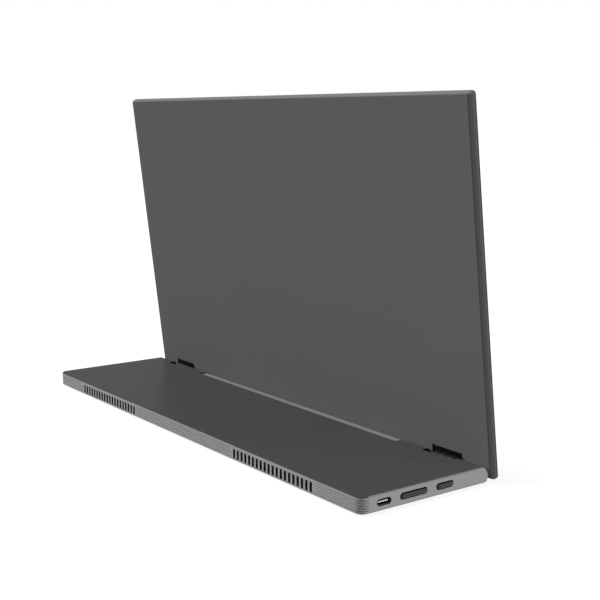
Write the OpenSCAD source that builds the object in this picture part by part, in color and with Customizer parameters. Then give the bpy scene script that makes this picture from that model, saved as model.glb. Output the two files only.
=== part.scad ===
// Portable monitor on a fold-out foot. A thin display turns on two friction hinges at the
// front edge of a full-width base that holds the electronics, and folds flat onto it.
// Millimetres. +Z is up, the screen faces -Y, the feet stand on z = 0, and the origin is
// the middle of the footprint. Depths s are measured forward from the vented rear edge.

/* [Base housing] */
// Width of the base, end to end
base_w = 350; // [330:1:370]
// Depth of the base from its vented rear edge to the hinge line
base_back = 85.8; // [84:0.1:95]
// Height of the base without its feet
base_h = 9.3; // [9.1:0.1:11]
// Plan radius of the two rear corners
base_corner = 5; // [4:0.5:8]
// Radius of the lower edge of the housing
base_fillet = 1.2; // [0.6:0.1:1.4]
// Thickness of the two short side walls
side_wall = 2; // [1.6:0.1:2.2]
// Thickness of the rear wall
rear_wall = 1.8; // [1.4:0.1:2.2]
// Thickness of the floor
floor_t = 1.4; // [1.2:0.1:1.6]
// Depth of the solid rail along the front edge, back from the hinge line
rail_depth = 7.7; // [7:0.1:9]
// How far the nose of the base stands in front of the hinge line
nose_reach = 3.1; // [2.4:0.1:3.2]
// Radius under the nose
nose_r = 3; // [2:0.1:3.2]
// Height of the shoulder where the sloping front of the nose begins
nose_shoulder = 5.3; // [4.5:0.1:6]
// How far in front of the hinge line the slope meets the top plate
nose_top_reach = 0.7; // [0.3:0.1:1]

/* [Top plate] */
// Thickness of the top plate
plate_t = 0.6; // [0.5:0.1:0.8]
// Chamfer around the top of the plate
plate_chamfer = 0.45; // [0.2:0.05:0.45]
// Width of the bevel along the front edge of the plate
plate_bevel = 1.3; // [0.8:0.1:1.8]
// Distance of each end of the bare ledge from the nearer hinge's centre
ledge_end = 33.9; // [25:0.1:45]
// Depth of the bare ledge, back from the hinge line
ledge_depth = 5.7; // [4.5:0.1:6.5]
// How far the ledge lies below the rest of the rail
ledge_drop = 0.4; // [0.2:0.1:0.8]

/* [Vents and grooves] */
// Slots in each of the two vent fields
vent_count = 20; // [10:1:22]
// Distance between neighbouring slots
vent_pitch = 3.86; // [3.4:0.01:4]
// Width of one slot
vent_slot_w = 2.2; // [1.2:0.1:2.3]
// Height of the slots' lower ends above the underside
vent_low = 1.35; // [1.2:0.05:2]
// Height of one slot
vent_slot_h = 5.6; // [4.5:0.1:6]
// Distance of each vent field's centre from the nearer end of the base
vent_end = 77.8; // [73:0.1:83]
// Thickness of the rear wall where the slots go through it
vent_wall = 0.4; // [0.4:0.05:0.6]
// Plain margin between a vent field and the grooves
vent_margin = 2.6; // [1.5:0.1:4]
// Number of fine grooves along the rear edge
groove_count = 5; // [3:1:5]
// Distance between neighbouring grooves
groove_pitch = 1.35; // [1.1:0.05:1.4]
// Height of the lowest groove above the underside
groove_low = 1.75; // [1.7:0.05:2]
// Width of a groove
groove_w = 0.5; // [0.3:0.05:0.6]
// Depth of a groove
groove_depth = 0.25; // [0.1:0.05:0.4]

/* [Ports and buttons] */
// Height of the socket's centre line above the underside
port_z = 4.7; // [4.5:0.1:4.9]
// Depth of the USB-C socket's centre
usb_s = 15.2; // [14:0.1:15.5]
// Width of the USB-C socket's steel shell
usb_w = 9; // [8.9:0.1:9.2]
// Height of the USB-C socket's steel shell
usb_h = 3.2; // [3.1:0.1:3.3]
// Length of the USB-C socket's steel shell
usb_len = 7.4; // [6.8:0.1:8]
// Wall of the USB-C socket's steel shell
usb_shell_t = 0.3; // [0.2:0.05:0.4]
// How far the socket's mouth lies inside the end face
usb_inset = 0.5; // [0.1:0.1:0.8]
// Gap around the socket in the housing
usb_gap = 0.35; // [0.2:0.05:0.5]
// Height of the buttons' centre line above the underside
button_z = 4.95; // [4.7:0.05:5.3]
// Depth of the volume rocker's centre
rocker_s = 35.4; // [34:0.1:36]
// Length of the volume rocker
rocker_len = 17.9; // [16:0.1:20]
// Depth of the power button's centre
power_s = 57.2; // [56:0.1:58]
// Length of the power button
power_len = 11.4; // [10:0.1:13]
// Height of both buttons
button_h = 2.8; // [2.5:0.1:3.1]
// Gap around each button in the housing
button_gap = 0.5; // [0.3:0.05:0.6]
// How far the buttons stand out of the end face
button_proud = 0.8; // [0.4:0.05:1]
// Height of the buttons' crown
button_crown = 0.6; // [0.4:0.05:0.9]
// Width of the lip that holds each button in
lip_w = 1; // [0.9:0.05:1.2]
// Thickness of that lip
lip_t = 0.6; // [0.5:0.1:0.7]
// Play between the power button's lip and the wall
power_play = 0.05; // [0.02:0.01:0.1]
// Play between the rocker's lip and the wall, which lets it rock
rocker_play = 0.35; // [0.32:0.01:0.4]

/* [Hinges] */
// Angle that the display leans back from upright
lean = 6.74; // [2:0.01:20]
// Distance of each hinge's centre from the nearer end of the base
hinge_end = 31.8; // [30:0.1:34]
// Depth of the hinge axis below the top of the base
axis_drop = 3.3; // [3.1:0.1:3.5]
// Gap between the folded display and the base
fold_gap = 0.35; // [0.3:0.05:0.5]
// Radius of the hinge knuckles
knuckle_r = 3.9; // [3.6:0.05:4.05]
// Free gap in the notch beside the barrel of each hinge
barrel_gap = 7; // [6:0.1:7.4]
// Length of the display's knuckle in each hinge
arm_knuckle = 5.4; // [4.6:0.1:6]
// Length of the shorter of the base's two knuckles in a hinge
bracket_knuckle = 3.2; // [2.8:0.1:3.8]
// Thickness of the friction washers
washer_t = 0.4; // [0.3:0.05:0.5]
// Radius of the friction washers
washer_r = 2.7; // [2.2:0.1:2.9]
// Radius of the hinge pins
pin_r = 1.25; // [1:0.05:1.4]
// Radial clearance of a pin in the base's knuckles
pin_fit = 0.01; // [0.01:0.01:0.02]
// Radial clearance of a pin in the display's knuckle
pin_running = 0.04; // [0.03:0.01:0.06]
// Play on each side of a washer
washer_play = 0.05; // [0.03:0.01:0.08]
// Width of the notch in the display around each hinge
notch_w = 24; // [23.8:0.1:25]
// Height of that notch above the hinge axis
notch_top = 4.9; // [4.5:0.1:6]
// Play between a hinge and the bottom of its well in the base
well_play = 0.35; // [0.3:0.05:0.6]
// Wall of the plastic well around each hinge
well_wall = 0.7; // [0.6:0.1:0.9]
// Thickness of the well's bottom
well_floor = 0.5; // [0.4:0.1:0.6]
// Depth of the well, back from the hinge line
well_back = 5; // [4.7:0.1:5.6]
// Thickness of the bracket that fixes each hinge to the base
bracket_t = 1.2; // [1:0.1:1.4]
// Depth of that bracket behind the hinge line
bracket_back = 27; // [24:0.5:28]
// Length of the hinge arm's leaf inside the display, above the hinge axis
leaf_top = 25; // [20:0.5:30]
// Half the thickness of the arm's neck
neck_half = 1.1; // [0.9:0.1:1.4]

/* [Display shell] */
// How far the display stands out beyond each end of the base
disp_overhang = 2.5; // [0:0.1:6]
// Height of the display along its own plane
disp_h = 209.1; // [200:0.1:225]
// Thickness of the display
disp_t = 4.8; // [4.7:0.1:5.6]
// How far the display reaches below the hinge axis
disp_below = 5.6; // [5.1:0.1:5.8]
// Plan radius of the display's corners
disp_corner = 2.2; // [2.1:0.1:4]
// How far the rear face is drawn in by its sloping edge
edge_inset = 1.75; // [1.2:0.05:2]
// Depth of the sloping edge
edge_depth = 3; // [2.4:0.1:3.2]
// Roundness of the sloping edge, from 1 for a plain chamfer to 2 for an arc
edge_power = 1.4; // [1.2:0.1:2]
// Chamfer at the front of the rim and of the glass
rim_chamfer = 0.2; // [0.1:0.05:0.3]
// Thickness of the rear cover's back
cover_t = 0.8; // [0.7:0.05:0.9]
// Thickness of the rear cover's rim
rim_t = 1.6; // [1.5:0.05:1.75]

/* [Panel stack] */
// Distance from each side of the display to the picture
active_side = 5.4; // [5.2:0.1:8]
// Distance from the bottom of the display to the picture
active_chin = 9.7; // [9:0.1:16]
// Border of the panel outside the picture at the sides and the top
panel_border = 2.2; // [1.5:0.1:2.5]
// Border of the panel below the picture
panel_foot = 3.6; // [3:0.1:4]
// Distance from the top of the display to the picture
active_top = 5.8; // [5.6:0.1:7]
// Thickness of the cover glass
glass_t = 0.75; // [0.6:0.05:0.8]
// How far the cover glass and the panel frame stand back from the edge around them
glass_gap = 0.1; // [0.05:0.05:0.15]
// Thickness of the LCD cell
cell_t = 0.95; // [0.8:0.05:1]
// Thickness of the optical films
films_t = 0.4; // [0.3:0.05:0.45]
// Thickness of the light guide
guide_t = 0.6; // [0.5:0.05:0.65]
// Thickness of the reflector sheet
reflector_t = 0.15; // [0.1:0.05:0.2]
// Depth of the LED bar below the light guide
led_depth = 1.5; // [1:0.1:1.8]
// Thickness of the hinge leaf and of what else lies behind the panel
leaf_t = 0.95; // [0.8:0.05:0.95]
// Clearance around the panel in its frame
panel_gap = 0.1; // [0.05:0.05:0.15]

/* [Inside the base] */
// Gap between the battery pack and its neighbours at each end
battery_gap = 8; // [3:0.5:20]
// Depth of the battery pack
battery_d = 48; // [40:1:50]
// Height of the battery pack
battery_h = 5.2; // [4:0.1:6]
// Width of each speaker
speaker_w = 68; // [60:1:69]
// Depth of each speaker
speaker_d = 12; // [10:0.5:12.5]
// Height of each speaker
speaker_h = 5.8; // [5:0.1:6.2]
// Width of the main board
board_w = 78; // [70:1:79]
// Depth of the main board
board_d = 36; // [30:0.5:37]
// Thickness of the circuit boards
pcb_t = 0.8; // [0.6:0.1:1]
// Thickness of the mesh behind the vents
mesh_t = 0.3; // [0.2:0.05:0.4]

/* [Screws and feet] */
// How far the rubber feet stand below the underside
foot_proud = 0.8; // [0.5:0.1:1.2]
// How deep the feet are set into the floor
foot_sunk = 0.7; // [0.5:0.1:0.8]
// Length of a foot
foot_len = 40; // [30:1:44]
// Width of a foot
foot_w = 7; // [6:0.5:8]
// Distance of the feet's centres from the nearer end of the base
foot_end = 37; // [34:0.5:45]
// Radius of the housing screws' shanks
screw_r = 0.8; // [0.7:0.05:0.9]
// Radius of the housing screws' heads
screw_head_r = 1.6; // [1.4:0.1:1.8]
// Height of the housing screws' heads
screw_head_h = 0.7; // [0.6:0.05:0.8]
// Wall of a screw boss around its screw
boss_wall = 1.3; // [1:0.1:1.5]
// Radial clearance of a screw in its boss
thread_fit = 0.02; // [0.01:0.01:0.03]
// Radial clearance of a screw in the piece it clamps
screw_gap = 0.15; // [0.1:0.05:0.2]

/* [Hidden] */
$fn = 64;
eps = 0.01;
cut = 2;

// Display, measured from the hinge axis: n runs out through the screen and u up the display
plane_n = axis_drop + fold_gap;
front_n = plane_n + disp_t;
disp_top = disp_h - disp_below;
front_reach = front_n * cos(lean) + (disp_below - glass_gap - rim_chamfer) * sin(lean);

// Place of the base: the footprint runs from -rear_y to rear_y
rear_y = (base_back + front_reach) / 2;
z_under = foot_proud;
axis_y = rear_y - base_back;
axis_z = z_under + base_h - axis_drop;
axis_h = base_h - axis_drop;
half_w = base_w / 2;
hinge_x = half_w - hinge_end;
vent_x = half_w - vent_end;
foot_x = half_w - foot_end;
ledge_w = 2 * (hinge_x - ledge_end);
disp_w = base_w + 2 * disp_overhang;
active_w = disp_w - 2 * active_side;
active_h = disp_h - active_top - active_chin;
seat_h = base_h - plate_t;
pocket_s = base_back - rail_depth;
port_side = -1;

// Outlines as [inset, height] pairs from the bottom up
fillet_steps = 6;
fillet_line = [for (i = [0:fillet_steps]) let (a = 90 - 90 * i / fillet_steps)
    [base_fillet * (1 - cos(a)), base_fillet * (1 - sin(a))]];
plain_line = concat(fillet_line, [[0, seat_h]]);
groove_line = concat(fillet_line,
    [for (i = [0:groove_count - 1], k = [-1, 0, 1])
        [k == 0 ? groove_depth : 0, groove_low + i * groove_pitch + k * groove_w / 2]],
    [[0, seat_h]]);
plate_line = [[0, seat_h], [0, base_h - plate_chamfer], [plate_chamfer, base_h]];

// Nose of the base as [s, height] pairs, from its underside up to the top plate
nose_steps = 10;
nose_s = base_back + nose_reach;
nose_arc = [for (i = [0:nose_steps]) let (a = -90 + 90 * i / nose_steps)
    [nose_s - nose_r + nose_r * cos(a), nose_r + nose_r * sin(a)]];
plate_front = base_back + nose_top_reach;
nose_line = concat(nose_arc, [[nose_s, nose_shoulder], [plate_front, seat_h],
    [plate_front - plate_bevel, base_h]]);

// Hinge parts along X, from each hinge's centre
knuckle_gap = washer_t + 2 * washer_play;
pin_proud = 0.6;
barrel_end = notch_w / 2 - barrel_gap;
arm_end = barrel_end - bracket_knuckle - knuckle_gap;
arm_start = arm_end - arm_knuckle;
barrel_start = 1 - notch_w / 2;
bracket_half = notch_w / 2 - 0.15;
base_knuckles = [[barrel_start, arm_start - knuckle_gap], [arm_end + knuckle_gap, barrel_end]];
well_half = notch_w / 2 + 0.2;
well_outer = well_half + well_wall;
rail_floor = axis_h - knuckle_r - well_play - well_floor;
bracket_low = axis_h - 2.8;
bracket_rear_s = base_back - bracket_back;
bracket_edge_s = base_back - knuckle_r - 0.7;
bracket_hole = [[-8, 5], [8, 5], [-8, 15], [8, 15]];
bracket_screw_r = 0.9;
bracket_head_r = 1.7;
bracket_head_h = 0.7;

// Socket insulator
tongue_w = 6.6;
tongue_block = 2;
tongue_step = 1.4;
tongue_end = 0.6;

// Vents
vent_half = (vent_count - 1) * vent_pitch / 2 + vent_slot_w / 2;
mesh_half = vent_half + 1.5;
mesh_top = vent_low + vent_slot_h + 0.5;
mesh_play = 0.1;

// Panel stack, from the front back
glass_n = front_n - glass_t;
cell_n = glass_n - 0.05 - cell_t;
films_n = cell_n - films_t;
guide_n = films_n - guide_t;
reflector_n = guide_n - reflector_t;
inner_n = plane_n + cover_t;
service_t = reflector_n - inner_n;
inner_w = disp_w - 2 * rim_t;
inner_low = rim_t - disp_below;
inner_high = disp_top - rim_t;
active_high = disp_top - active_top;
active_low = active_high - active_h;
panel_w = active_w + 2 * panel_border;
panel_low = active_low - panel_foot;
panel_high = active_high + panel_border;

// Housing screws as [x, s] pairs, mirrored left and right
mid_screw_x = hinge_x - 28.4;
end_screw_in = 6.1;
screw_places = [[half_w - end_screw_in, end_screw_in], [40, end_screw_in],
    [half_w - 12, base_back - 15], [mid_screw_x, base_back - 15]];
boss_r = screw_r + boss_wall;
battery_lead = 3;
foot_places = [10.5, base_back - 9];

// Inside the base
speaker_s = rear_wall + mesh_t + 0.3;
board_z = port_z - usb_h / 2 - pcb_t;
board_x = -half_w + 9;
board_s = 18.5;
board_hole_r = 0.8;
board_holes = [[4, 4], [board_w - 4, 4], [4, board_d - 4], [board_w - 4, board_d - 4]];
board_post_r = 2;
battery_x0 = board_x + board_w + battery_gap;
battery_x1 = mid_screw_x - boss_r - battery_gap;
battery_s = base_back - rail_depth - 6 - battery_d;
switch_x = 3.7;
switch_t = 1;
plunger_t = 0.4;
switch_w = 3;
rocker_arm = 6;
cable_w = 8;
cable_t = 0.2;
press_gap = 0.45;

// Inside the display
arm_hole_x = 8;
arm_hole = [[-arm_hole_x, leaf_top - 13], [arm_hole_x, leaf_top - 13], [0, leaf_top - 5]];
arm_screw_r = 0.7;
arm_head_r = 1.4;
foam_w = 8;
foam_side = 12;
foam_pitch = 50;
driver_w = 120;
driver_d = 12;
driver_pcb = 0.5;
chip_w = 9;
chip_h = 0.35;
chip_pitch = 31;

// Block in the base between two x, two depths s and two heights
module base_block(x0, x1, s0, s1, h0, h1)
    translate([x0, rear_y - s1, z_under + h0]) cube([x1 - x0, s1 - s0, h1 - h0]);

// Prism along X from [s, height] pairs
module base_prism(x0, x1, line)
    translate([x0, rear_y, z_under]) rotate([90, 0, 90]) linear_extrude(x1 - x0)
        polygon([for (p = line) [-p[0], p[1]]]);

// Upright cylinder in the base
module base_post(x, s, h0, h1, r)
    translate([x, rear_y - s, z_under + h0]) cylinder(r = r, h = h1 - h0);

// Cylinder along X on the hinge axis
module axis_rod(x0, x1, r)
    translate([x0, axis_y, axis_z]) rotate([0, 90, 0]) cylinder(r = r, h = x1 - x0);

// Slab with two round rear corners of radius r, whose edge follows [inset, height] pairs
module rear_round_slab(w, s0, s1, r, side_line, rear_line) {
    low = side_line[0][1];
    high = side_line[len(side_line) - 1][1];
    side_outline = concat([[0, low]], [for (p = side_line) [r - p[0], p[1]]], [[0, high]]);
    rear_outline = concat([[0, low]], [for (p = rear_line) [r - p[0], p[1]]], [[0, high]]);
    base_block(r - w / 2, w / 2 - r, s0 + r, s1, low, high);
    for (m = [0, 1]) mirror([m, 0, 0]) translate([w / 2 - r, rear_y - s0 - r, z_under]) {
        rotate([90, 0, 0]) linear_extrude(s1 - s0 - r) polygon(side_outline);
        rotate_extrude(angle = 90) polygon(rear_outline);
    }
}

// Straight run of a slab's rear edge
module rear_run(x0, x1, s0, r, line)
    base_prism(x0, x1, concat([[s0 + r, line[0][1]]], [for (p = line) [s0 + p[0], p[1]]],
        [[s0 + r, line[len(line) - 1][1]]]));

// Pill of length len and height h, lying along x with its thickness up z
module pill(len, h, t) {
    translate([-(len - h) / 2, -h / 2, 0]) cube([len - h, h, t]);
    for (a = [0, 180]) rotate([0, 0, a]) translate([(len - h) / 2, 0, 0])
        rotate([0, 0, -90]) rotate_extrude(angle = 180) square([h / 2, t]);
}

// Pill whose edge follows [radius, height] pairs out from its axis
module crowned_pill(len, h, line) {
    both = concat(line, [for (i = [len(line) - 1:-1:0]) [-line[i][0], line[i][1]]]);
    translate([-(len - h) / 2, 0, 0]) rotate([90, 0, 90]) linear_extrude(len - h) polygon(both);
    for (a = [0, 180]) rotate([0, 0, a]) translate([(len - h) / 2, 0, 0])
        rotate([0, 0, -90]) rotate_extrude(angle = 180) polygon(line);
}

// Turns a pill to face out of the port end, at depth s, with its back at x
module on_port_end(x, s, h)
    translate([port_side * x, rear_y - s, z_under + h]) rotate([90, 0, 90 * port_side])
        children();

// Places what is drawn flat, with x across, y up the display and z out through the screen
module on_display()
    translate([0, axis_y, axis_z]) rotate([90 - lean, 0, 0]) children();

// Block in the display between two x, two u and two n
module display_block(x0, x1, u0, u1, n0, n1)
    translate([x0, u0, n0]) cube([x1 - x0, u1 - u0, n1 - n0]);

// Flat slab with four round corners, whose edge follows [inset, n] pairs
module round_slab(w, u0, u1, r, line) {
    low = line[0][1];
    high = line[len(line) - 1][1];
    outline = concat([[0, low]], [for (p = line) [r - p[0], p[1]]], [[0, high]]);
    mid_u = (u0 + u1) / 2;
    run_w = w - 2 * r;
    run_h = u1 - u0 - 2 * r;
    display_block(-run_w / 2, run_w / 2, u0 + r, u1 - r, low, high);
    for (m = [0, 1]) mirror([m, 0, 0]) translate([run_w / 2, u0 + r + run_h, 0])
        rotate([90, 0, 0]) linear_extrude(run_h) polygon(outline);
    for (a = [0, 180]) translate([0, mid_u, 0]) rotate([0, 0, a])
        translate([-run_w / 2, run_h / 2, 0]) rotate([90, 0, 90]) linear_extrude(run_w)
            polygon(outline);
    for (a = [0, 180], m = [0, 1]) translate([0, mid_u, 0]) rotate([0, 0, a]) mirror([m, 0, 0])
        translate([run_w / 2, run_h / 2, 0]) rotate_extrude(angle = 90) polygon(outline);
}

// Rounded line of the rear cover's outer edge
edge_steps = 6;
cover_line = concat(
    [for (i = [0:edge_steps]) let (a = 90 - 90 * i / edge_steps)
        [edge_inset * (1 - pow(cos(a), 2 / edge_power)),
            plane_n + edge_depth * (1 - pow(sin(a), 2 / edge_power))]],
    [[0, glass_n - rim_chamfer], [rim_chamfer, glass_n]]);

// ---- Base ----

// Aluminium tub with a grooved, vented rear edge, a solid front rail and room for the hinges
module base_housing() color("darkgray") difference() {
    union() {
        difference() {
            union() {
                rear_round_slab(base_w, 0, nose_s, base_corner, plain_line, groove_line);
                field = vent_half + vent_margin;
                for (m = [0, 1]) mirror([m, 0, 0]) {
                    rear_run(vent_x - field, vent_x + field, 0, base_corner, plain_line);
                    rear_run(vent_x + field, half_w - base_corner, 0, base_corner, groove_line);
                    rear_run(0, vent_x - field, 0, base_corner, groove_line);
                }
            }
            nose_cut(seat_h);
            rear_round_pocket();
        }
        for (m = [0, 1]) mirror([m, 0, 0]) for (p = bracket_hole)
            base_post(hinge_x + p[0], bracket_rear_s + p[1], floor_t - eps, bracket_low, 2.4);
        for (p = board_holes)
            base_post(board_x + p[0], board_s + p[1], floor_t - eps, board_z, board_post_r);
    }
    vent_slots();
    for (m = [0, 1]) mirror([m, 0, 0])
        base_block(vent_x - mesh_half - mesh_play, vent_x + mesh_half + mesh_play, vent_wall,
            rear_wall + cut, floor_t, mesh_top + mesh_play);
    hinge_room();
    ledge_cut();
    on_port_end(half_w - side_wall - cut, usb_s, port_z)
        pill(usb_w + 2 * usb_gap, usb_h + 2 * usb_gap, side_wall + 2 * cut);
    for (b = [[rocker_s, rocker_len], [power_s, power_len]])
        on_port_end(half_w - side_wall - cut, b[0], button_z)
            pill(b[1] + 2 * button_gap, button_h + 2 * button_gap, side_wall + 2 * cut);
    for (m = [0, 1]) mirror([m, 0, 0]) {
        for (s = foot_places) translate([foot_x, rear_y - s, z_under - eps])
            pill(foot_len, foot_w, foot_sunk + eps);
        for (p = screw_places) {
            base_post(p[0], p[1], -cut, floor_t + cut, screw_r + screw_gap);
            base_post(p[0], p[1], -cut, screw_head_h, screw_head_r + screw_gap);
        }
        for (p = bracket_hole) base_post(hinge_x + p[0], bracket_rear_s + p[1], floor_t,
            bracket_low + cut, bracket_screw_r + thread_fit);
    }
    for (p = board_holes) base_post(board_x + p[0], board_s + p[1], floor_t,
        board_z + cut, board_hole_r + thread_fit);
}

// What lies in front of the nose line, up to a height
module nose_cut(top)
    difference() {
        base_block(-half_w - cut, half_w + cut, nose_s - nose_r, nose_s + cut, -cut, top + cut);
        base_prism(-half_w - 2 * cut, half_w + 2 * cut,
            concat([[nose_s - nose_r - cut, 0]], nose_line, [[nose_s - nose_r - cut, base_h]]));
    }

// Inside of the tub
module rear_round_pocket() {
    line = [[0, floor_t], [0, base_h + cut]];
    r = base_corner - rear_wall;
    translate([0, 0, 0]) {
        rear_round_slab(base_w - 2 * side_wall, rear_wall, pocket_s, r, line, line);
        rear_run(r - half_w + side_wall, half_w - side_wall - r, rear_wall, r, line);
    }
}

// Upright slots of both vent fields
module vent_slots()
    for (m = [0, 1]) mirror([m, 0, 0]) for (i = [0:vent_count - 1]) {
        x = vent_x + (i - (vent_count - 1) / 2) * vent_pitch;
        base_block(x - vent_slot_w / 2, x + vent_slot_w / 2, -cut, rear_wall + cut,
            vent_low, vent_low + vent_slot_h);
    }

// Gap through the front rail around each hinge
module hinge_room()
    for (m = [0, 1]) mirror([m, 0, 0])
        base_block(hinge_x - well_outer, hinge_x + well_outer, pocket_s - cut, nose_s + cut,
            rail_floor, base_h + cut);

// Sunk ledge between the hinges
module ledge_cut()
    base_block(-ledge_w / 2, ledge_w / 2, base_back - ledge_depth, nose_s + cut,
        seat_h - ledge_drop, base_h + cut);

// Dark plate that closes the base, with the bosses of the housing screws
module top_plate() color([0.2, 0.2, 0.21]) difference() {
    union() {
        rear_round_slab(base_w, 0, nose_s, base_corner, plate_line, plate_line);
        rear_run(base_corner - half_w, half_w - base_corner, 0, base_corner, plate_line);
        for (m = [0, 1]) mirror([m, 0, 0]) for (p = screw_places)
            base_post(p[0], p[1], floor_t, seat_h + eps, boss_r);
    }
    base_prism(-half_w - cut, half_w + cut, [[plate_front, seat_h - cut], [plate_front, seat_h],
        [plate_front - plate_bevel, base_h], [plate_front - plate_bevel, base_h + cut],
        [nose_s + cut, base_h + cut], [nose_s + cut, seat_h - cut]]);
    base_block(-ledge_w / 2, ledge_w / 2, base_back - ledge_depth, nose_s + cut,
        seat_h - cut, base_h + cut);
    for (m = [0, 1]) mirror([m, 0, 0]) {
        base_block(hinge_x - well_half, hinge_x + well_half, base_back - well_back,
            nose_s + cut, seat_h - cut, base_h + cut);
        for (p = screw_places) base_post(p[0], p[1], floor_t - cut, seat_h - 1, screw_r + thread_fit);
    }
}

// Four rubber pads
module rubber_feet() color([0.1, 0.1, 0.1])
    for (m = [0, 1]) mirror([m, 0, 0]) for (s = foot_places)
        translate([foot_x, rear_y - s, 0]) pill(foot_len - 0.2, foot_w - 0.2, foot_proud + foot_sunk);

// Screws from below into the top plate's bosses
module housing_screws() color("dimgray")
    for (m = [0, 1]) mirror([m, 0, 0]) for (p = screw_places) difference() {
        union() {
            base_post(p[0], p[1], 0.05, screw_head_h, screw_head_r);
            base_post(p[0], p[1], screw_head_h - eps, seat_h - 2, screw_r);
        }
        base_post(p[0], p[1], -cut, 0.45, 0.6, $fn = 6);
    }

// Fine black mesh behind each vent field
module vent_mesh() color([0.06, 0.06, 0.06])
    for (m = [0, 1]) mirror([m, 0, 0])
        base_block(vent_x - mesh_half, vent_x + mesh_half, vent_wall, vent_wall + mesh_t,
            floor_t, mesh_top);

// Flat speaker box with an oblong diaphragm that faces the vents
module speaker() color([0.12, 0.12, 0.13]) {
    cone_len = speaker_w * 0.4;
    difference() {
        base_block(-speaker_w / 2, speaker_w / 2, speaker_s, speaker_s + speaker_d,
            floor_t, floor_t + speaker_h);
        translate([0, rear_y - speaker_s - 0.6, z_under + floor_t + speaker_h / 2])
            rotate([-90, 0, 0]) pill(cone_len, speaker_h - 1.6, 1);
    }
    for (e = [-1, 1]) base_block(e * speaker_w / 2 - 1.5, e * speaker_w / 2 + 1.5,
        speaker_s + speaker_d / 2 - 2, speaker_s + speaker_d / 2 + 2, floor_t, floor_t + 1.6);
}
module speaker_left() translate([-vent_x, 0, 0]) speaker();
module speaker_right() translate([vent_x, 0, 0]) speaker();

// Flat lithium pack with a folded edge and its lead tab
module battery_pack() color([0.25, 0.27, 0.3]) {
    base_block(battery_x0, battery_x1, battery_s, battery_s + battery_d, floor_t,
        floor_t + battery_h);
    base_block(battery_x0 - battery_lead, battery_x0, battery_s + battery_lead,
        battery_s + battery_d - battery_lead, floor_t, floor_t + battery_h / 3);
}

// Main board with a tab that reaches the socket
module main_board() color([0.08, 0.3, 0.18]) difference() {
    union() {
        base_block(board_x, board_x + board_w, board_s, board_s + board_d,
            board_z, board_z + pcb_t);
        base_block(-half_w + side_wall + 0.3, board_x + 14, usb_s - usb_w / 2 - 0.5,
            board_s + 3, board_z, board_z + pcb_t);
    }
    for (p = board_holes) base_post(board_x + p[0], board_s + p[1], board_z - cut,
        board_z + pcb_t + cut, board_hole_r + screw_gap);
}

// Scaler chip, power coil, shield, memory, connectors
module board_parts() color([0.15, 0.15, 0.16]) {
    top = board_z + pcb_t;
    for (c = [[26, 9, 15, 15, 1.2], [46, 9, 8, 8, 2.2], [46, 21, 10, 7, 1], [60, 10, 10, 5, 1.6],
              [60, 22, 6, 6, 2.6], [12, 12, 9, 12, 1.4], [board_w - 10, 14, 6, 9, 3]])
        base_block(board_x + c[0], board_x + c[0] + c[2], board_s + c[1], board_s + c[1] + c[3],
            top, top + c[4]);
    base_block(-hinge_x - cable_w / 2 - 1, -hinge_x + cable_w / 2 + 1, board_s + board_d - 4,
        board_s + board_d - 0.5, top, bracket_low + bracket_t);
}

// Screws that hold the main board to its posts
module board_screws() color("silver")
    for (p = board_holes) {
        base_post(board_x + p[0], board_s + p[1], board_z + pcb_t, board_z + pcb_t + 0.6, 1.5);
        base_post(board_x + p[0], board_s + p[1], floor_t + 0.2, board_z + pcb_t + eps,
            board_hole_r);
    }

// Drawn steel shell of the USB-C socket, closed at its back
module usb_c_shell() color("lightgray")
    on_port_end(half_w - usb_inset - usb_len, usb_s, port_z) difference() {
        pill(usb_w, usb_h, usb_len);
        translate([0, 0, 1]) pill(usb_w - 2 * usb_shell_t, usb_h - 2 * usb_shell_t, usb_len);
    }

// Pale insulator inside the socket: a back block, a step and the thin contact tongue
module usb_c_tongue() color([0.85, 0.85, 0.85])
    on_port_end(half_w - usb_inset - usb_len, usb_s, port_z) {
        inner_h = usb_h - 2 * usb_shell_t - 0.1;
        translate([0, 0, 1]) pill(usb_w - 2 * usb_shell_t - 0.1, inner_h, tongue_block);
        for (t = [[1.5, usb_len - tongue_end - tongue_step], [0.7, usb_len - tongue_end]])
            translate([-tongue_w / 2, -t[0] / 2, 1 + tongue_block - eps])
                cube([tongue_w, t[0], t[1] - 1 - tongue_block + eps]);
    }

// Small upright board behind the buttons
module button_board() color([0.08, 0.3, 0.18])
    base_block(-half_w + switch_x + plunger_t + switch_t,
        -half_w + switch_x + plunger_t + switch_t + pcb_t,
        rocker_s - rocker_arm - 3, power_s + 5, floor_t, button_z + button_h / 2 + 0.8);

// Three push switches, one for power and two for the rocker, and the rocker's fulcrum
module button_switches() color("silver") {
    base_block(-half_w + switch_x, -half_w + switch_x + plunger_t + switch_t,
        rocker_s - 0.4, rocker_s + 0.4, button_z - 1, button_z + 1);
    for (s = [power_s, rocker_s - rocker_arm, rocker_s + rocker_arm]) {
        base_block(-half_w + switch_x + plunger_t, -half_w + switch_x + plunger_t + switch_t,
            s - switch_w / 2, s + switch_w / 2, button_z - 1.3, button_z + 1.3);
        translate([-half_w + switch_x, rear_y - s, z_under + button_z]) rotate([0, 90, 0])
            cylinder(r = 0.6, h = plunger_t + eps);
    }
}

// Flat cable from the main board over the hinge bracket
module display_cable() color([0.7, 0.45, 0.15])
    base_block(-hinge_x - cable_w / 2, -hinge_x + cable_w / 2, board_s + board_d - 4,
        bracket_edge_s, bracket_low + bracket_t, bracket_low + bracket_t + cable_t);

// ---- Hinges ----

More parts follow.
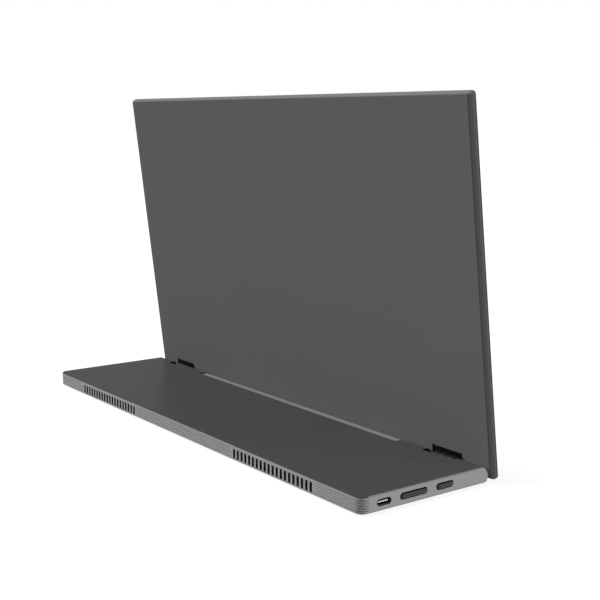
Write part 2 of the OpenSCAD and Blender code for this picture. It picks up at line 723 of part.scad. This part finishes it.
// Black plastic well that lines the gap around a hinge
module hinge_well() color([0.05, 0.05, 0.05]) difference() {
    intersection() {
        base_prism(-well_outer, well_outer, concat([[base_back - well_back, 0]], nose_line,
            [[base_back - well_back, base_h]]));
        base_block(-well_outer - cut, well_outer + cut, base_back - well_back, nose_s + cut,
            rail_floor, seat_h);
    }
    base_block(-well_half, well_half, base_back - well_back - cut, nose_s + 2 * cut,
        rail_floor + well_floor, base_h + cut);
}
module hinge_well_left() translate([-hinge_x, 0, 0]) hinge_well();
module hinge_well_right() translate([hinge_x, 0, 0]) hinge_well();

// Steel bracket: a leaf on the floor posts and two knuckles around the pin
module hinge_bracket() color([0.2, 0.2, 0.2]) difference() {
    union() {
        base_block(-bracket_half, bracket_half, bracket_rear_s, bracket_edge_s, bracket_low,
            bracket_low + bracket_t);
        for (k = base_knuckles) {
            base_block(k[0], k[1], bracket_edge_s - eps, base_back, bracket_low,
                bracket_low + bracket_t);
            axis_rod(k[0], k[1], knuckle_r);
        }
    }
    axis_rod(barrel_start - cut, barrel_end + cut, pin_r + pin_fit);
    for (p = bracket_hole) base_post(p[0], bracket_rear_s + p[1], bracket_low - cut,
        bracket_low + bracket_t + cut, bracket_screw_r + screw_gap);
}
module hinge_bracket_left() translate([-hinge_x, 0, 0]) hinge_bracket();
module hinge_bracket_right() translate([hinge_x, 0, 0]) hinge_bracket();

// Screws that hold the brackets to the floor posts
module bracket_screws() color("dimgray")
    for (m = [0, 1]) mirror([m, 0, 0]) for (p = bracket_hole) {
        base_post(hinge_x + p[0], bracket_rear_s + p[1], bracket_low + bracket_t,
            bracket_low + bracket_t + bracket_head_h, bracket_head_r);
        base_post(hinge_x + p[0], bracket_rear_s + p[1], floor_t + 0.2,
            bracket_low + bracket_t + eps, bracket_screw_r);
    }

// Steel pin of one hinge
module hinge_pin() color("gray") axis_rod(barrel_start - pin_proud, barrel_end - 0.4, pin_r);
module hinge_pin_left() translate([-hinge_x, 0, 0]) hinge_pin();
module hinge_pin_right() translate([hinge_x, 0, 0]) hinge_pin();

// Washers that give the hinges their friction
module friction_washers() color("silver")
    for (x = [-hinge_x, hinge_x], e = [arm_start - knuckle_gap / 2, arm_end + knuckle_gap / 2]) {
        mid = x + e;
        difference() {
            axis_rod(mid - washer_t / 2, mid + washer_t / 2, washer_r);
            axis_rod(mid - cut, mid + cut, pin_r + pin_running);
        }
    }

// ---- Buttons ----

// Button with a crowned face and a lip behind the wall
module button(len, play) {
    face = play + side_wall + button_proud;
    steps = 5;
    line = concat([[0, 0], [button_h / 2, 0]],
        [for (i = [0:steps]) let (a = 90 * i / steps)
            [button_h / 2 * cos(a), face - button_crown * (1 - sin(a))]]);
    crowned_pill(len, button_h, line);
    translate([0, 0, -lip_t]) pill(len + 2 * lip_w, button_h + 2 * lip_w, lip_t);
}
module power_button() color([0.17, 0.17, 0.18])
    on_port_end(half_w - side_wall - power_play, power_s, button_z) {
        button(power_len, power_play);
        nub = switch_x - side_wall - power_play - lip_t - press_gap;
        translate([-1, -0.6, -lip_t - nub]) cube([2, 1.2, nub + eps]);
    }
module volume_rocker() color([0.17, 0.17, 0.18])
    on_port_end(half_w - side_wall - rocker_play, rocker_s, button_z) {
        button(rocker_len, rocker_play);
        back = switch_x - side_wall - rocker_play - lip_t;
        for (p = [[-rocker_arm, press_gap], [0, 0.05], [rocker_arm, press_gap]])
            translate([p[0] - 0.5, -0.6, -lip_t - back + p[1]]) cube([1, 1.2, back - p[1] + eps]);
    }

// ---- Display ----

// Metal rear cover: a shallow tray with a soft edge and a notch at each hinge
module rear_cover() color([0.28, 0.28, 0.29]) on_display() difference() {
    round_slab(disp_w, -disp_below, disp_top, disp_corner, cover_line);
    round_slab(inner_w, inner_low, inner_high, disp_corner - rim_t,
        [[0, inner_n], [0, front_n + cut]]);
    for (m = [0, 1]) mirror([m, 0, 0]) {
        display_block(hinge_x - notch_w / 2, hinge_x + notch_w / 2, -disp_below - cut, notch_top,
            plane_n - cut, inner_n + eps);
        for (p = arm_hole) translate([hinge_x + p[0], p[1], plane_n + 0.3])
            cylinder(r = arm_screw_r + thread_fit, h = cut);
    }
}

// Black plastic frame that holds the panel and carries the cover glass
module panel_frame() color([0.07, 0.07, 0.07]) on_display() difference() {
    round_slab(inner_w - 2 * glass_gap, inner_low + glass_gap, inner_high - glass_gap,
        disp_corner - rim_t - glass_gap, [[0, inner_n], [0, glass_n]]);
    display_block(-panel_w / 2 - panel_gap, panel_w / 2 + panel_gap, panel_low - panel_gap,
        panel_high + panel_gap, inner_n - cut, glass_n + cut);
    for (m = [0, 1]) mirror([m, 0, 0])
        display_block(hinge_x - notch_w / 2 - 0.2, hinge_x + notch_w / 2 + 0.2,
            inner_low - cut, panel_low + cut, inner_n - cut, reflector_n);
}

// Cover glass over the whole front, on the rims of the rear cover and the frame
module cover_glass() color([0.1, 0.1, 0.12]) on_display()
    round_slab(disp_w - 2 * glass_gap, glass_gap - disp_below, disp_top - glass_gap,
        disp_corner - glass_gap,
        [[0, glass_n], [0, front_n - rim_chamfer], [rim_chamfer, front_n]]);

// Flat layer of the panel
module layer(u0, n0, t)
    display_block(-panel_w / 2, panel_w / 2, u0, panel_high, n0, n0 + t);
module lcd_cell() color([0.2, 0.2, 0.25]) on_display() layer(panel_low, cell_n, cell_t);
module optical_films() color("white") on_display() layer(panel_low + led_depth + 0.1, films_n, films_t);
module light_guide() color([0.85, 0.9, 0.95]) on_display()
    layer(panel_low + led_depth + 0.1, guide_n, guide_t);
module reflector_sheet() color("white") on_display() layer(panel_low, reflector_n, reflector_t);

// Strip of LEDs along the lower edge of the light guide
module led_bar() color("khaki") on_display() {
    display_block(-panel_w / 2 + 2, panel_w / 2 - 2, panel_low, panel_low + 0.4,
        guide_n, guide_n + guide_t);
    for (i = [-20:20]) display_block(i * 8 - 1.5, i * 8 + 1.5, panel_low + 0.4 - eps,
        panel_low + led_depth, guide_n, guide_n + guide_t);
}

// Foam strips between the rear cover and the panel
module foam_strips() color([0.2, 0.2, 0.2]) on_display()
    for (i = [-1, 0, 1]) {
        u = (panel_low + panel_high) / 2 + i * foam_pitch;
        display_block(-panel_w / 2 + foam_side, panel_w / 2 - foam_side, u - foam_w / 2,
            u + foam_w / 2, inner_n, reflector_n);
    }

// Panel driver board with its chips
module driver_board() color([0.08, 0.3, 0.18]) on_display() {
    low = panel_low + driver_d / 4;
    display_block(-driver_w / 2, driver_w / 2, low, low + driver_d, inner_n, inner_n + driver_pcb);
    for (i = [-1, 0, 1]) display_block(i * chip_pitch - chip_w / 2, i * chip_pitch + chip_w / 2,
        low + driver_d / 6, low + driver_d * 3 / 4, inner_n + driver_pcb - eps,
        inner_n + driver_pcb + chip_h);
}

// Flat cable from the left hinge to the driver board
module panel_cable() color([0.7, 0.45, 0.15]) on_display()
    display_block(-hinge_x + notch_w / 2 + 0.1, -driver_w / 2, panel_low + driver_d / 2,
        panel_low + driver_d / 2 + cable_w, inner_n, inner_n + cable_t);

// Steel arm: a knuckle on the pin, a neck through the notch and a leaf inside the cover
module hinge_arm() color([0.15, 0.15, 0.15]) on_display() difference() {
    leaf_half = notch_w / 2 - 0.15;
    union() {
        rotate([0, 90, 0]) translate([0, 0, arm_start]) cylinder(r = knuckle_r, h = arm_knuckle);
        display_block(arm_start, arm_end, -neck_half, neck_half, 0, inner_n + eps);
        display_block(-leaf_half, leaf_half, inner_low + glass_gap, leaf_top, inner_n,
            inner_n + leaf_t);
    }
    rotate([0, 90, 0]) translate([0, 0, -notch_w / 2]) cylinder(r = pin_r + pin_running, h = notch_w);
    for (p = arm_hole) translate([p[0], p[1], inner_n - cut])
        cylinder(r = arm_screw_r + screw_gap, h = 2 * cut);
    for (p = arm_hole) translate([p[0], p[1], inner_n + leaf_t - 0.4])
        cylinder(r = arm_head_r + screw_gap, h = cut);
}
module hinge_arm_left() translate([-hinge_x, 0, 0]) hinge_arm();
module hinge_arm_right() translate([hinge_x, 0, 0]) hinge_arm();

// Screws that hold the arms to the rear cover
module arm_screws() color("dimgray") on_display()
    for (m = [0, 1]) mirror([m, 0, 0]) for (p = arm_hole) translate([hinge_x + p[0], p[1], 0]) {
        translate([0, 0, inner_n + leaf_t - 0.4]) cylinder(r = arm_head_r, h = 0.35);
        translate([0, 0, plane_n + 0.35]) cylinder(r = arm_screw_r, h = cover_t - 0.35 + leaf_t - 0.4 + eps);
    }

base_housing();
top_plate();
rubber_feet();
housing_screws();
vent_mesh();
speaker_left();
speaker_right();
battery_pack();
main_board();
board_parts();
board_screws();
usb_c_shell();
usb_c_tongue();
button_board();
button_switches();
display_cable();
hinge_well_left();
hinge_well_right();
hinge_bracket_left();
hinge_bracket_right();
bracket_screws();
hinge_pin_left();
hinge_pin_right();
friction_washers();
power_button();
volume_rocker();
rear_cover();
panel_frame();
cover_glass();
lcd_cell();
optical_films();
light_guide();
reflector_sheet();
led_bar();
foam_strips();
driver_board();
panel_cable();
hinge_arm_left();
hinge_arm_right();
arm_screws();
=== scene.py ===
"""Looks of a portable monitor whose base folds flat against the back of its display.

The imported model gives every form, down to the screws. This script gives each of its pieces the
finish of the real one, and lights and frames the whole.
Lengths are worked out in millimetres and turned to metres once, by MM.
"""

import bpy
import numpy as np
from mathutils import Matrix, Vector

MM = 0.001

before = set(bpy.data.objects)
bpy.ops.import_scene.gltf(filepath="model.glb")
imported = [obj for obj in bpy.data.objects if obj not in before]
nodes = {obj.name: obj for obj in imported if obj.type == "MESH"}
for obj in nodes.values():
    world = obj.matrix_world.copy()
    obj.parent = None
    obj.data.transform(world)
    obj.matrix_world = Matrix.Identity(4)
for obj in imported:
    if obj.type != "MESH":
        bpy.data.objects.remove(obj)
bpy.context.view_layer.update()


# ---- Places on the part, in mm ----

# The hinge line and the lean of the display, as the solids have them
LEAN = np.radians(6.74)
AXIS_Y, AXIS_Z = -38.3932, 6.8
# The vented edge's face, the radius of its corners and the top of the base
REAR, CORNER, TOP = 47.4068, 5.0, 10.1
# The base's end face and the display's side, on both sides of the middle
END, SIDE = 175.0, 177.5
# The vent slots on each side of the middle, and the plain fields that hold them
SLOTS, SLOT_HEIGHTS, VENT_FIELD = (59.2, 135.2), (1.9, 8.0), (56.8, 137.6)
# The five grooves of the vented edge: the middle of the lowest and of the highest, their pitch,
# and half their width at the rim and where their painted shade is full
GROOVE_LOW, GROOVE_HIGH, GROOVE_PITCH = 2.55, 7.95, 1.35
GROOVE_RIM, GROOVE_CORE, GROOVE_MARGIN = 0.25, 0.15, 0.3
# The socket's and the buttons' openings, along the end face and in height
OPENINGS, OPENING_HEIGHTS = (REAR - 66, REAR - 9), (3.2, 8.4)
# Walls of openings are painted black from SKIN to DEEP behind the face, as the shade inside them
SKIN, DEEP = 0.1, 2.4
# The picture on the screen: its width, its height, and its lower edge above the hinge line
PICTURE_W, PICTURE_H, PICTURE_LOW = 344.2, 193.6, 4.1

# A mask's open sides, its reach past a face, and the widths of its soft edges
ANY, PAST = (-300, 300), 1
MASK_EDGE, PICTURE_EDGE = 0.04, 0.15

# Most of a noise texture's values lie between these two
NOISE_LOW, NOISE_HIGH = 0.3, 0.7
WHITE = (1, 1, 1, 1)


# ---- Colour and nodes ----

def linear(code):
    """Linear RGBA of an sRGB hex code: c / 12.92 up to 0.04045, and ((c + 0.055) / 1.055) ^ 2.4
    above it."""
    c = np.array([int(code[i:i + 2], 16) for i in (1, 3, 5)]) / 255
    c = np.where(c <= 0.04045, c / 12.92, ((c + 0.055) / 1.055) ** 2.4)
    return (*map(float, c), 1.0)


def add(tree, kind, links=None, **settings):
    """Adds a node. A setting is a property of the node or, in links, the value of an input socket:
    a number or colour, or (node, output) for a link."""
    made = tree.nodes.new(kind)
    for key, value in settings.items():
        setattr(made, key, value)
    for key, value in (links or {}).items():
        if isinstance(value, tuple) and isinstance(value[0], bpy.types.Node):
            tree.links.new(value[0].outputs[value[1]], made.inputs[key])
        else:
            made.inputs[key].default_value = value
    return made


# The next functions give (node, output), which add takes as the value of a socket.

def calc(tree, operation, *values, clamped=False):
    """A sum, product and so on of numbers or outputs."""
    return add(tree, "ShaderNodeMath", dict(enumerate(values)), operation=operation,
               use_clamp=clamped), 0


def mix(tree, kind, factor, first, second, blend="MIX"):
    """Mixes two numbers (FLOAT) or colours (RGBA). Each kind has its own sockets under the same
    names, so they are found by number."""
    a, b, out = {"FLOAT": (2, 3, 0), "RGBA": (6, 7, 2)}[kind]
    return add(tree, "ShaderNodeMix", {0: factor, a: first, b: second}, data_type=kind,
               blend_type=blend), out


def noise(tree, at, size_mm, detail=2.0, roughness=0.5):
    """Noise whose features are about size_mm wide."""
    return add(tree, "ShaderNodeTexNoise", {"Vector": at, "Scale": 1 / (size_mm * MM),
                                            "Detail": detail, "Roughness": roughness}), "Fac"


def drawn_noise(tree, at, sizes_mm, detail=2.0, roughness=0.5, turn=0.0):
    """Noise whose features are sizes_mm long in x, y and z. The turn about z comes after the
    stretch, so it doesn't turn them, but takes another part of the noise."""
    scaled = add(tree, "ShaderNodeMapping", {"Vector": at, "Rotation": (0, 0, turn),
                                             "Scale": tuple(1 / (s * MM) for s in sizes_mm)})
    return add(tree, "ShaderNodeTexNoise", {"Vector": (scaled, "Vector"), "Scale": 1.0,
                                            "Detail": detail, "Roughness": roughness}), "Fac"


def stretched(tree, at, low, high):
    """A noise's usual values turned to low to high."""
    return add(tree, "ShaderNodeMapRange", {"Value": at, "From Min": NOISE_LOW,
                                            "From Max": NOISE_HIGH, "To Min": low,
                                            "To Max": high}), "Result"


def two_tones(tree, at, code, spread, low=0.0, high=1.0):
    """A colour from spread darker to spread lighter than the code, as the value goes from low to
    high."""
    made = add(tree, "ShaderNodeValToRGB", {"Fac": at})
    for stop, position, share in zip(made.color_ramp.elements, (low, high),
                                     (1 - spread, 1 + spread)):
        stop.position = position
        stop.color = (*(share * part for part in linear(code)[:3]), 1)
    return made, "Color"


def bumped(tree, at, strength, depth_mm):
    """The normal of a surface whose height follows the value."""
    return add(tree, "ShaderNodeBump", {"Height": at, "Strength": strength,
                                        "Distance": depth_mm * MM}), "Normal"


def new_finish(name):
    """An empty material with its tree and its Object coordinates."""
    material = bpy.data.materials.new(name)
    material.use_nodes = True
    tree = material.node_tree
    tree.nodes.clear()
    return material, tree, (add(tree, "ShaderNodeTexCoord"), "Object")


def close(tree, kind, links):
    """Adds the last shader and joins it to the material's output."""
    shader = add(tree, kind, links)
    add(tree, "ShaderNodeOutputMaterial", {"Surface": (shader, 0)})


# ---- Masks and zones ----

def rise(tree, at, start, end):
    """0 to 1 as the value goes from start to end, in mm; end may be the lower one."""
    return add(tree, "ShaderNodeMapRange", {"Value": at, "From Min": start * MM,
                                            "From Max": end * MM}), "Result"


def within(tree, at, low, high, edge):
    """1 where the value lies between low and high, with soft edges, in mm."""
    return calc(tree, "MULTIPLY", rise(tree, at, low, low + edge),
                rise(tree, at, high, high - edge))


def box(across, along=ANY, height=ANY, mirrored=False):
    """A mask that is 1 inside a box given as (low, high) in x, y and z, in mm; mirrored takes x
    by its size. A mask is a function of a tree and its Object coordinates."""
    def mask(tree, place):
        parts = add(tree, "ShaderNodeSeparateXYZ", {"Vector": place})
        x = calc(tree, "ABSOLUTE", (parts, "X")) if mirrored else (parts, "X")
        sides = [within(tree, at, *span, MASK_EDGE)
                 for at, span in ((x, across), ((parts, "Y"), along), ((parts, "Z"), height))]
        return calc(tree, "MULTIPLY", calc(tree, "MULTIPLY", sides[0], sides[1]), sides[2])
    return mask


def painted_groove_shade(tree, place):
    """The grooves round the rear edge and its corners, painted darker as the shade in them, soft
    towards their rims. PINGPONG gives the distance from the nearest groove's middle; the vent
    fields have no grooves."""
    parts = add(tree, "ShaderNodeSeparateXYZ", {"Vector": place})
    level = calc(tree, "SUBTRACT", (parts, "Z"), GROOVE_LOW * MM)
    apart = calc(tree, "PINGPONG", level, GROOVE_PITCH / 2 * MM)
    line = rise(tree, apart, GROOVE_RIM, GROOVE_CORE)
    rear = (REAR - CORNER, REAR + PAST)
    levels = (GROOVE_LOW - GROOVE_MARGIN, GROOVE_HIGH + GROOVE_MARGIN)
    edge = box((-PAST, END + PAST), rear, levels, mirrored=True)(tree, place)
    field = box(VENT_FIELD, rear, mirrored=True)(tree, place)
    return calc(tree, "MULTIPLY", line, calc(tree, "SUBTRACT", edge, field, clamped=True))


# The walls of the vent slots, and those of the socket's and the buttons' openings, painted black
# as the shade inside them
painted_slot_shade = box(SLOTS, (REAR - DEEP, REAR - SKIN), SLOT_HEIGHTS, mirrored=True)
painted_opening_shade = box((-END + SKIN, -END + DEEP), OPENINGS, OPENING_HEIGHTS)
# The sunk ledge along the front of the base, 0.4 mm below the plate's seat, painted darker as the
# shade that the display casts on it
painted_ledge_shade = box((0, 112), (-41.5, -32), (9.0, 9.2), mirrored=True)
# The plate's chamfer and cut edge along its two ends, up to the corners' curves
cut_ends = box((END - 2, END + PAST), (-60, REAR - CORNER), (0, TOP - 0.03), mirrored=True)
# The outer 0.7 mm of the rear cover's sides, painted a shade darker as the shade on the sides that
# turn away from the light
painted_side_shade = box((SIDE - 0.7, SIDE + PAST), mirrored=True)
# The front face of the socket's tongue, 1.1 mm inside the end face, painted light as a highlight
# on the black tongue
painted_tongue_highlight = box((-END + 1, -END + 1.25))
# The sides of the buttons, up to 0.45 mm out of the end face, painted black as the shade in the
# gap round each button; their crowns stay grey
painted_gap_shade = box((-END - 0.45, -END + 5))


def zoned(tree, place, shade, metal, zones):
    """Colour and metal with zones, each (mask, code, metal): where its mask is 1, a zone takes
    over."""
    for mask, code, share in zones:
        where = mask(tree, place)
        shade = mix(tree, "RGBA", where, shade, linear(code))
        if metal != share:
            metal = mix(tree, "FLOAT", where, metal, share)
    return shade, metal


# ---- Finishes ----

def blasted_anodised(name, code, rough, spread, metal, grain_mm=0.35, depth_mm=0.04, streak=0.0,
                     sheen=0.0, zones=()):
    """Bead-blasted and anodised aluminium: a fine, even grain that breaks up the reflections, and
    a faint unevenness of the oxide in patches of a few centimetres. Real grit leaves pits of about
    0.05 mm; they are drawn at grain_mm so that they show. Streak adds the fine level lines of an
    extruded and brushed edge, 0.3 mm apart and about 40 mm long. A dyed, sealed oxide is nearly as
    dull as paint, so metal and sheen, its share of clear gloss, are low for the dark colours.
    Zones are those of zoned()."""
    patch_mm, streak_mm, speckle, swing = 45, (40, 40, 0.3), 1.5 * spread, 0.03
    material, tree, place = new_finish(name)
    grain = noise(tree, place, grain_mm, roughness=0.6)
    patch = noise(tree, place, patch_mm, detail=3.0)
    tone = two_tones(tree, patch, code, spread, NOISE_LOW, NOISE_HIGH)
    specks = stretched(tree, grain, 1 - speckle, 1 + speckle)
    colour = mix(tree, "RGBA", 1.0, tone, specks, blend="MULTIPLY")
    shade, metallic = zoned(tree, place, colour, metal, zones)
    height = grain
    if streak:
        lines = drawn_noise(tree, place, streak_mm, detail=3.0, roughness=0.6)
        height = mix(tree, "FLOAT", streak, grain, lines)
    close(tree, "ShaderNodeBsdfPrincipled", {
        "Base Color": shade, "Metallic": metallic,
        "Roughness": stretched(tree, patch, rough - swing, rough + swing),
        "Specular IOR Level": sheen, "Normal": bumped(tree, height, 0.35, depth_mm)})
    return material


def moulded(name, code, rough, grain_mm=0.4, spread=0.08, gloss=0.5, zones=()):
    """Moulded ABS or rubber: one colour with a spark-eroded grain. IOR 1.5, as most plastics;
    gloss 0.5 is all of its clear reflection. Zones are those of zoned()."""
    material, tree, place = new_finish(name)
    grain = noise(tree, place, grain_mm, detail=3.0, roughness=0.55)
    shade, _ = zoned(tree, place, two_tones(tree, grain, code, spread), 0.0, zones)
    close(tree, "ShaderNodeBsdfPrincipled", {
        "Base Color": shade, "Roughness": rough, "IOR": 1.5, "Specular IOR Level": gloss,
        "Normal": bumped(tree, grain, 0.3, 0.03)})
    return material


def drawn_steel(name, code, rough):
    """Drawn or turned steel: fine lines along the width, 0.15 mm apart, on a bright ground."""
    material, tree, place = new_finish(name)
    lines = drawn_noise(tree, place, (6, 0.15, 0.15))
    close(tree, "ShaderNodeBsdfPrincipled", {
        "Base Color": two_tones(tree, lines, code, 0.12), "Metallic": 1.0, "Roughness": rough,
        "Normal": bumped(tree, lines, 0.2, 0.02)})
    return material


def etched_cover_glass():
    """Chemically etched cover glass over a switched-off IPS panel. The border is printed black
    from behind; the picture area is a very dark, slightly cool grey, because the polariser under
    it swallows the light. The etch spreads reflections, a little more over the picture, and faint
    wiping marks change the gloss in bands of a few centimetres."""
    material, tree, place = new_finish("etched_cover_glass")
    # The place on the display at rest: x across, y up from the hinge line, z out of the screen
    local = (add(tree, "ShaderNodeMapping", {
        "Vector": place, "Location": (0, AXIS_Y * MM, AXIS_Z * MM),
        "Rotation": (np.pi / 2 - LEAN, 0, 0)}, vector_type="TEXTURE"), "Vector")
    parts = add(tree, "ShaderNodeSeparateXYZ", {"Vector": local})
    across = within(tree, (parts, "X"), -PICTURE_W / 2, PICTURE_W / 2, PICTURE_EDGE)
    upward = within(tree, (parts, "Y"), PICTURE_LOW, PICTURE_LOW + PICTURE_H, PICTURE_EDGE)
    picture = calc(tree, "MULTIPLY", across, upward)
    wiped = drawn_noise(tree, local, (70, 18, 1000), detail=3.0, turn=0.6)
    gloss = stretched(tree, wiped, 0.20, 0.25)
    etch = noise(tree, place, 0.5)
    close(tree, "ShaderNodeBsdfPrincipled", {
        "Base Color": mix(tree, "RGBA", picture, linear("#030304"), linear("#1A1B20")),
        "Roughness": calc(tree, "MULTIPLY_ADD", picture, 0.06, gloss),
        "IOR": 1.5, "Specular IOR Level": 0.2, "Normal": bumped(tree, etch, 0.12, 0.01)})
    return material


screen_glass = etched_cover_glass()
housing_finish = blasted_anodised(
    "clear_anodised_aluminium", "#8F8F8F", 0.4, 0.03, metal=0.12, depth_mm=0.015, streak=0.8,
    # The slot and opening walls are painted black: painted shade inside the recesses
    sheen=0.05, zones=[(painted_slot_shade, "#0A0A0A", 0.0), (painted_opening_shade, "#0A0A0A", 0.0),
                       # The groove walls are painted darker: painted shade in the grooves
                       # The ledge is painted darker: painted shade under the display
                       (painted_groove_shade, "#6A6A6A", 0.12), (painted_ledge_shade, "#6B6B6B", 0.12)])
plate_finish = blasted_anodised("grey_anodised_plate", "#3A3A3A", 0.32, 0.02, metal=0.13,
                                zones=[(cut_ends, "#6C6C6C", 0.13)])
# The cover's sides are painted a shade darker: painted shade
cover_finish = blasted_anodised("grey_anodised_cover", "#636363", 0.5, 0.015, metal=0.04,
                                zones=[(painted_side_shade, "#595959", 0.04)])
rubber = moulded("foot_rubber", "#1A1A1A", 0.75)
black_abs = moulded("black_abs", "#0B0B0B", 0.5)
# The buttons' sides are painted black: painted shade in the gap round them
button_abs = moulded("button_abs", "#3C3C3D", 0.4, grain_mm=0.25, gloss=0.1,
                     zones=[(painted_gap_shade, "#070707", 0.0)])
# The tongue's front face is painted light: a painted highlight
tongue_plastic = moulded("socket_tongue_plastic", "#101010", 0.4, grain_mm=0.25,
                         zones=[(painted_tongue_highlight, "#BEBEBE", 0.0)])
bright_steel = drawn_steel("bright_steel", "#B9B9B9", 0.3)
socket_steel = drawn_steel("nickel_steel", "#505051", 0.35)
black_steel = drawn_steel("black_zinc_steel", "#4B4B4C", 0.4)
board_green = moulded("solder_mask_green", "#12402A", 0.35, grain_mm=1.5)
chip_black = moulded("chip_epoxy", "#161616", 0.6)
cable_amber = moulded("polyimide_film", "#A8641C", 0.3, grain_mm=2.0)
battery_foil = moulded("battery_laminate", "#6F7276", 0.4, grain_mm=3.0)
white_film = moulded("white_film", "#E4E4E4", 0.5, spread=0.02)
led_phosphor = moulded("led_phosphor", "#E3D36A", 0.45)
foam_grey = moulded("closed_cell_foam", "#262626", 0.9, grain_mm=0.6)
mesh_black = moulded("mesh_black", "#050505", 0.7, gloss=0.1)

FINISH = {
    housing_finish: ["base_housing"],
    plate_finish: ["top_plate"],
    cover_finish: ["rear_cover"],
    rubber: ["rubber_feet"],
    # The hinge wells are black liners that stand for the shade down in the hinge notches: painted
    # shade
    black_abs: ["hinge_well_left", "hinge_well_right", "panel_frame", "speaker_left",
                "speaker_right", "lcd_cell"],
    screen_glass: ["cover_glass"],
    button_abs: ["power_button", "volume_rocker"],
    socket_steel: ["usb_c_shell"],
    bright_steel: ["button_switches", "board_screws", "hinge_pin_left", "hinge_pin_right",
                   "friction_washers"],
    black_steel: ["hinge_bracket_left", "hinge_bracket_right", "hinge_arm_left",
                  "hinge_arm_right", "bracket_screws", "arm_screws", "housing_screws"],
    board_green: ["main_board", "button_board", "driver_board"],
    chip_black: ["board_parts"],
    cable_amber: ["display_cable", "panel_cable"],
    battery_foil: ["battery_pack"],
    tongue_plastic: ["usb_c_tongue"],
    white_film: ["optical_films", "reflector_sheet", "light_guide"],
    led_phosphor: ["led_bar"],
    foam_grey: ["foam_strips"],
    mesh_black: ["vent_mesh"],
}
for finish, names in FINISH.items():
    for name in names:
        nodes[name].data.materials.clear()
        nodes[name].data.materials.append(finish)


# ---- Floor ----

def seen_ray(tree):
    """1 for the rays that see the background, straight, in a mirror or through a clear piece, and
    0 for those that bring light to the pieces."""
    path = add(tree, "ShaderNodeLightPath")
    mirrored = calc(tree, "MAXIMUM", (path, "Is Camera Ray"), (path, "Is Glossy Ray"))
    return calc(tree, "MAXIMUM", mirrored, (path, "Is Transmission Ray"))


def placed(name, data):
    """An object of this name and data in the scene."""
    made = bpy.data.objects.new(name, data)
    bpy.context.scene.collection.objects.link(made)
    return made


def paper_white(name, grey, lift):
    """White paper sweep: diffuse, with a light of its own for the eye and for reflections."""
    material, tree, _ = new_finish(name)
    paper = add(tree, "ShaderNodeBsdfDiffuse", {"Color": (grey, grey, grey, 1)})
    glow = add(tree, "ShaderNodeEmission", {"Color": WHITE, "Strength": lift})
    lifted = add(tree, "ShaderNodeAddShader", {0: (paper, 0), 1: (glow, 0)})
    close(tree, "ShaderNodeMixShader", {0: seen_ray(tree), 1: (paper, 0), 2: (lifted, 0)})
    return material


def flat_sheet(name, half, z):
    """A square sheet: corners at plus and minus half, at height z."""
    mesh = bpy.data.meshes.new(name)
    mesh.from_pydata([(-half, -half, z), (half, -half, z), (half, half, z), (-half, half, z)], [],
                     [(0, 1, 2, 3)])
    return placed(name, mesh)


# 12 m square, and 0.2 mm below the feet
floor = flat_sheet("floor", 6.0, -0.2 * MM)
floor.data.materials.append(paper_white("white_paper", 0.12, 0.89))


# ---- Light ----

# The room's light, from full to the darkest of the flag, and the cosines between which it falls
ROOM_LIGHT, FLAG_LIGHT = 0.36, 0.03
FLAG_START, FLAG_FULL = 0.1, 0.75

world = bpy.data.worlds.new("studio")
bpy.context.scene.world = world
world.use_nodes = True
air = world.node_tree
air.nodes.clear()
# A dark flag stands off the corner with the socket: half way between -X and +Y, soft at its edges
facing = add(air, "ShaderNodeTexCoord")
toward = add(air, "ShaderNodeVectorMath", {0: (facing, "Generated"), 1: (-0.707, 0.707, 0)},
             operation="DOT_PRODUCT")
flag = add(air, "ShaderNodeMapRange", {
    "Value": (toward, "Value"), "From Min": FLAG_START, "From Max": FLAG_FULL,
    "To Min": ROOM_LIGHT, "To Max": FLAG_LIGHT}, interpolation_type="SMOOTHSTEP")
soft = add(air, "ShaderNodeBackground", {"Color": WHITE, "Strength": (flag, "Result")})
white = add(air, "ShaderNodeBackground", {"Color": WHITE, "Strength": 1.0})
mixed = add(air, "ShaderNodeMixShader", {0: seen_ray(air), 1: (soft, 0), 2: (white, 0)})
add(air, "ShaderNodeOutputWorld", {"Surface": (mixed, 0)})


def sunlight(name, source, power, spread):
    """A sun lamp that shines from the direction source, spread degrees wide. Metal doesn't mirror
    it: a studio's real lights are far broader than a lamp."""
    lamp = bpy.data.lights.new(name, "SUN")
    lamp.energy, lamp.angle = power, np.radians(spread)
    sun = placed(name, lamp)
    sun.visible_glossy = False
    sun.rotation_euler = Vector(source).to_track_quat("Z", "Y").to_euler()


# Three broad lights: a high one for the tops and edges, a low one behind the display for its back
# and the vented edge, and one off the end with the socket
sunlight("high_sun", (0.3, 0.3, 1), 4.4, 25)
sunlight("low_sun", (0.8, 1, 0.42), 1.6, 20)
sunlight("end_sun", (-1, -0.75, 0.12), 4.0, 20)


# ---- Camera ----

# 53.548 degrees round from the back of the display and 9.237 down; its place in mm
YAW, PITCH = np.radians(53.548), np.radians(9.237)
EYE = (-584.13, 387.02, 195.95)
# Focal length and width of the picture in pixels, for a field of view of 29.97 degrees
FOCAL_PX, WIDE_PX, SENSOR_MM = 1120.74, 600, 36

ahead = Vector((np.sin(YAW) * np.cos(PITCH), -np.cos(YAW) * np.cos(PITCH), -np.sin(PITCH)))
right = Vector((-np.cos(YAW), -np.sin(YAW), 0))
up = right.cross(ahead)
lens = bpy.data.cameras.new("camera")
lens.sensor_width, lens.sensor_fit = SENSOR_MM, "HORIZONTAL"
lens.lens = SENSOR_MM * FOCAL_PX / WIDE_PX
lens.clip_start, lens.clip_end = 0.01, 50
camera = placed("camera", lens)
camera.matrix_world = Matrix.Translation(Vector(EYE) * MM) @ Matrix(
    [[right[i], up[i], -ahead[i]] for i in range(3)]).to_4x4()
bpy.context.scene.camera = camera
bpy.context.scene.view_settings.view_transform = "Standard"
